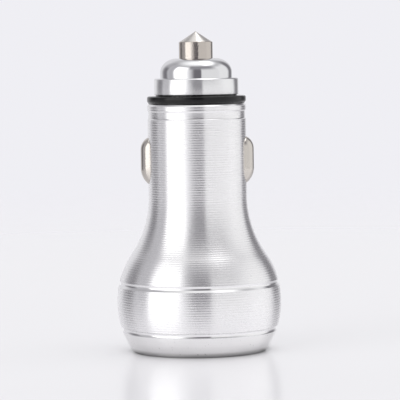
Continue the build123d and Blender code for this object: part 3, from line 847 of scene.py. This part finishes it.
socket_steel = surface(
    "socket_steel",
    lathe_marks,
    {"Color": rgb(0.62, 0.62, 0.63), "Drift": 0.12, "Rings per mm": 2.0, "Roughness": 0.24, "Roughness drift": 0.2,
     "Depth": 0.1},
    metallic=1.0,
)
socket_white = surface(
    "socket_insulator",
    moulded_grain,
    {"Color": rgb(0.78, 0.78, 0.76), "Drift": 0.08, "Grain": 1400.0, "Roughness": 0.42, "Roughness drift": 0.1},
)
gilt = surface(
    "socket_contact",
    lathe_marks,
    {"Color": rgb(0.83, 0.62, 0.28), "Drift": 0.15, "Rings per mm": 4.0, "Roughness": 0.22, "Roughness drift": 0.2,
     "Depth": 0.2},
    metallic=1.0,
)
for place in ("front", "rear"):
    dress("usb_shell_" + place, socket_steel)
    dress("usb_tongue_" + place, socket_white)
    dress("usb_pins_" + place, gilt)


# Carrier, terminals and lead
# The carrier is moulded in black nylon round the springs. Brass strips pick up the current,
# and an insulated wire takes the positive side down to the converter.

dress("carrier", black_nylon)
terminal_brass = surface(
    "terminal_brass",
    lathe_marks,
    {"Color": rgb(0.72, 0.55, 0.28), "Drift": 0.2, "Rings per mm": 3.0, "Roughness": 0.3, "Roughness drift": 0.2,
     "Depth": 0.2},
    metallic=1.0,
)
dress("spring_terminal", terminal_brass)
dress("ground_terminal", terminal_brass)
dress("positive_lead", surface(
    "red_insulation",
    moulded_grain,
    {"Color": rgb(0.5, 0.02, 0.02), "Drift": 0.1, "Grain": 1200.0, "Roughness": 0.4, "Roughness drift": 0.1},
))


# Boards and the parts on them
# Green boards carry the converter: a drum choke wound with enamelled copper, two cans,
# moulded chips and small ceramic parts with tinned ends.

solder_mask = surface(
    "solder_mask",
    moulded_grain,
    {"Color": rgb(0.015, 0.11, 0.04), "Drift": 0.35, "Grain": 700.0, "Roughness": 0.3, "Roughness drift": 0.2},
)
ferrite = surface(
    "ferrite",
    moulded_grain,
    {"Color": rgb(0.035, 0.034, 0.036), "Drift": 0.3, "Grain": 2200.0, "Roughness": 0.6, "Roughness drift": 0.2},
)
copper = surface(
    "enamelled_copper",
    lathe_marks,
    {"Color": rgb(0.62, 0.24, 0.09), "Drift": 0.35, "Rings per mm": 12.0, "Roughness": 0.25, "Roughness drift": 0.2,
     "Depth": 0.8},
    metallic=0.9,
)
can_sleeve = surface(
    "can_aluminium",
    lathe_marks,
    {"Color": rgb(0.72, 0.72, 0.74), "Drift": 0.1, "Rings per mm": 5.0, "Roughness": 0.28, "Roughness drift": 0.1,
     "Depth": 0.2},
    metallic=1.0,
)
chip_black = surface(
    "chip_moulding",
    moulded_grain,
    {"Color": rgb(0.014, 0.014, 0.015), "Drift": 0.3, "Grain": 2400.0, "Roughness": 0.55, "Roughness drift": 0.2},
)
chip_ceramic = surface(
    "chip_ceramic",
    moulded_grain,
    {"Color": rgb(0.42, 0.33, 0.24), "Drift": 0.2, "Grain": 2000.0, "Roughness": 0.5, "Roughness drift": 0.2},
)
for finish, nodes in (
    (solder_mask, ("main_board", "port_board")),
    (ferrite, ("inductor_core",)),
    (copper, ("inductor_coil",)),
    (can_sleeve, ("input_capacitor", "output_capacitor")),
    (chip_black, ("regulator_chip", "diode", "port_control_chips", "chip_resistors")),
    (chip_ceramic, ("chip_capacitors", "fuse")),
):
    for node in nodes:
        dress(node, finish)


# Studio
# A glossy pale floor in a tent of pale cloth: a wide soft light on the left, a dark opening
# where the camera stands, dark corners behind on both sides, and a bright roof.

panel_edges = ("From", "From softness", "To", "To softness", "Low", "Low softness", "High", "High softness")


def panel_group():
    """Lays a soft-edged panel of one brightness over what is round it, by bearing and height in degrees."""
    inputs = [("Under", "Color", None), ("Panel", "Color", None)]
    inputs += [(name, "Float", None) for name in ("Bearing", "Height") + panel_edges]
    group, nodes, links, entry, leave = new_group("panel", inputs, [("Color", "Color")])
    mask = None
    for value, edge, inside in (
        ("Bearing", "From", True), ("Bearing", "To", False), ("Height", "Low", True), ("Height", "High", False)
    ):
        middle, softness = entry.outputs[edge], entry.outputs[edge + " softness"]
        share = nodes.new("ShaderNodeMapRange")
        share.interpolation_type = "SMOOTHSTEP"
        share.inputs["To Min"].default_value = 0 if inside else 1
        share.inputs["To Max"].default_value = 1 if inside else 0
        links.new(entry.outputs[value], share.inputs["Value"])
        links.new(worked(nodes, links, "SUBTRACT", middle, softness), share.inputs["From Min"])
        links.new(worked(nodes, links, "ADD", middle, softness), share.inputs["From Max"])
        mask = worked(nodes, links, "MULTIPLY", mask, share.outputs[0]) if mask else share.outputs[0]
    lay = nodes.new("ShaderNodeMix")
    lay.data_type = "RGBA"
    links.new(mask, lay.inputs["Factor"])
    links.new(entry.outputs["Under"], lay.inputs["A"])
    links.new(entry.outputs["Panel"], lay.inputs["B"])
    links.new(lay.outputs["Result"], leave.inputs["Color"])
    return group


# Bearings are from the camera's side, the right positive; each edge is followed by its softness
panels = (
    ("high wall", (0.60, 0.60, 0.615), -270, 1, 270, 1, 40, 8, 120, 1),
    ("pale right wall", (0.85, 0.85, 0.855), -10, 10, 76, 10, -90, 1, 36, 8),
    ("bright right wall", (0.92, 0.92, 0.925), 76, 10, 122, 6, -90, 1, 40, 8),
    ("right corner", (0.23, 0.225, 0.24), 129, 6, 157, 10, -40, 20, 44, 14),
    ("shaded left wall", (0.46, 0.455, 0.475), -139, 11, -102, 9, -7, 4, 60, 8),
    ("left corner", (0.21, 0.205, 0.22), -130, 12, -107, 9, -7, 4, 26, 8),
    ("left curtain", (0.50, 0.495, 0.52), -103, 9, -80, 6, -7, 4, 60, 8),
    ("dark opening", (0.18, 0.173, 0.19), -13, 10, 17, 3, -5, 3, 50, 9),
    ("gap below the roof", (0.32, 0.315, 0.335), -26, 8, 68, 16, 30, 14, 62, 8),
    ("soft light", (1.7, 1.7, 1.7), -76, 5, -30, 12, -6, 4, 46, 6),
    ("roof", (1.35, 1.35, 1.35), -270, 1, 270, 1, 70, 20, 120, 1),
    ("roof on the right", (2.5, 2.5, 2.5), 48, 26, 160, 12, 62, 14, 120, 1),
)
world = bpy.data.worlds.new("light_tent")
bpy.context.scene.world = world
world.use_nodes = True
nodes, links = world.node_tree.nodes, world.node_tree.links
nodes.clear()
way = nodes.new("ShaderNodeTexCoord")
parts = nodes.new("ShaderNodeSeparateXYZ")
links.new(way.outputs["Generated"], parts.inputs[0])
front = worked(nodes, links, "MULTIPLY", parts.outputs["Y"], -1)
bearing = worked(nodes, links, "DEGREES", worked(nodes, links, "ARCTAN2", parts.outputs["X"], front))
height = worked(nodes, links, "DEGREES", worked(nodes, links, "ARCSINE", parts.outputs["Z"]))
cloth = nodes.new("ShaderNodeRGB")
cloth.outputs[0].default_value = rgb(0.76, 0.757, 0.78)
panel = panel_group()
below = cloth.outputs[0]
for name, level, *edges in panels:
    laid = nodes.new("ShaderNodeGroup")
    laid.node_tree = panel
    laid.label = name
    laid.inputs["Panel"].default_value = rgb(*level)
    links.new(below, laid.inputs["Under"])
    links.new(bearing, laid.inputs["Bearing"])
    links.new(height, laid.inputs["Height"])
    for socket, edge in zip(panel_edges, edges):
        laid.inputs[socket].default_value = edge
    below = laid.outputs["Color"]
tent_light = nodes.new("ShaderNodeBackground")
links.new(below, tent_light.inputs["Color"])
backdrop = nodes.new("ShaderNodeBackground")
backdrop.inputs["Color"].default_value = rgb(0.866, 0.862, 0.903)
rays = nodes.new("ShaderNodeLightPath")
plain = worked(nodes, links, "MAXIMUM", rays.outputs["Is Camera Ray"], rays.outputs["Is Transmission Ray"])
seen = nodes.new("ShaderNodeMixShader")
links.new(plain, seen.inputs["Fac"])
links.new(tent_light.outputs[0], seen.inputs[1])
links.new(backdrop.outputs[0], seen.inputs[2])
world_out = nodes.new("ShaderNodeOutputWorld")
links.new(seen.outputs[0], world_out.inputs["Surface"])

floor_radius = 1.2
floor_shape = bmesh.new()
bmesh.ops.create_circle(floor_shape, cap_ends=True, segments=96, radius=floor_radius)
floor_mesh = bpy.data.meshes.new("floor")
floor_shape.to_mesh(floor_mesh)
floor_shape.free()
floor = bpy.data.objects.new("floor", floor_mesh)
bpy.context.scene.collection.objects.link(floor)
floor_paint = bpy.data.materials.new("floor_board")
floor_paint.use_nodes = True
nodes, links = floor_paint.node_tree.nodes, floor_paint.node_tree.links
board = nodes["Principled BSDF"]
board.inputs["Roughness"].default_value = 0.2
board.inputs["Specular IOR Level"].default_value = 0.9
lift = nodes.new("ShaderNodeEmission")
lift.inputs["Color"].default_value = rgb(0.985, 0.98, 1.0)
rays = nodes.new("ShaderNodeLightPath")
lit = nodes.new("ShaderNodeAddShader")
links.new(board.outputs[0], lit.inputs[0])
links.new(lift.outputs[0], lit.inputs[1])
place = nodes.new("ShaderNodeTexCoord").outputs["Object"]
reach = nodes.new("ShaderNodeVectorMath")
reach.operation = "LENGTH"
links.new(place, reach.inputs[0])
reach = reach.outputs["Value"]
across = nodes.new("ShaderNodeSeparateXYZ")
links.new(place, across.inputs[0])
# Painted shadow: the board's colour darkens where it meets the plug's foot. The board's glow is painted shade as
# well: it fades round the foot, and in reflections it is fainter behind the plug and on its left
painted_foot_shadow = eased(nodes, links, reach, 0.0131, 0.0152, first=0.3)
links.new(scaled(nodes, links, (0.80, 0.795, 0.812), painted_foot_shadow), board.inputs["Base Color"])
away = worked(nodes, links, "MULTIPLY_ADD", across.outputs["X"], -0.25, across.outputs["Y"])
# Painted shade in reflections: the glow that glossy rays see is fainter behind the plug and on its left
reflected_glow_painted_shade = eased(nodes, links, away, -0.012, 0.02, first=0.25, last=0.05, easing="LINEAR")
shown = worked(nodes, links, "MULTIPLY", rays.outputs["Is Camera Ray"], 0.155)
strength = worked(nodes, links, "MULTIPLY_ADD", rays.outputs["Is Glossy Ray"], reflected_glow_painted_shade, shown)
# Painted shadow in the glow: it fades out towards the plug's foot
glow_painted_foot_shadow = eased(nodes, links, reach, 0.012, 0.0175)
links.new(worked(nodes, links, "MULTIPLY", strength, glow_painted_foot_shadow), lift.inputs["Strength"])
fade = eased(nodes, links, reach, 0.12, 0.6)
gone = nodes.new("ShaderNodeBsdfTransparent")
blend_out = nodes.new("ShaderNodeMixShader")
links.new(fade, blend_out.inputs["Fac"])
links.new(lit.outputs[0], blend_out.inputs[1])
links.new(gone.outputs[0], blend_out.inputs[2])
links.new(blend_out.outputs[0], nodes["Material Output"].inputs["Surface"])
floor_mesh.materials.append(floor_paint)

camera_distance = 0.490
camera_height = 0.0617
camera_pitch = math.radians(3.6)
camera_roll = math.radians(-0.83)
camera_aside = 0.00043
camera_data = bpy.data.cameras.new("camera")
camera_data.lens = 215.2
camera_data.sensor_width = 36
camera_data.clip_start = 0.01
camera = bpy.data.objects.new("camera", camera_data)
bpy.context.scene.collection.objects.link(camera)
camera.matrix_world = (
    Matrix.Translation((camera_aside, -camera_distance, camera_height))
    @ Matrix.Rotation(math.pi / 2 - camera_pitch, 4, "X")
    @ Matrix.Rotation(camera_roll, 4, "Z")
)
bpy.context.scene.camera = camera
bpy.context.scene.view_settings.view_transform = "Standard"
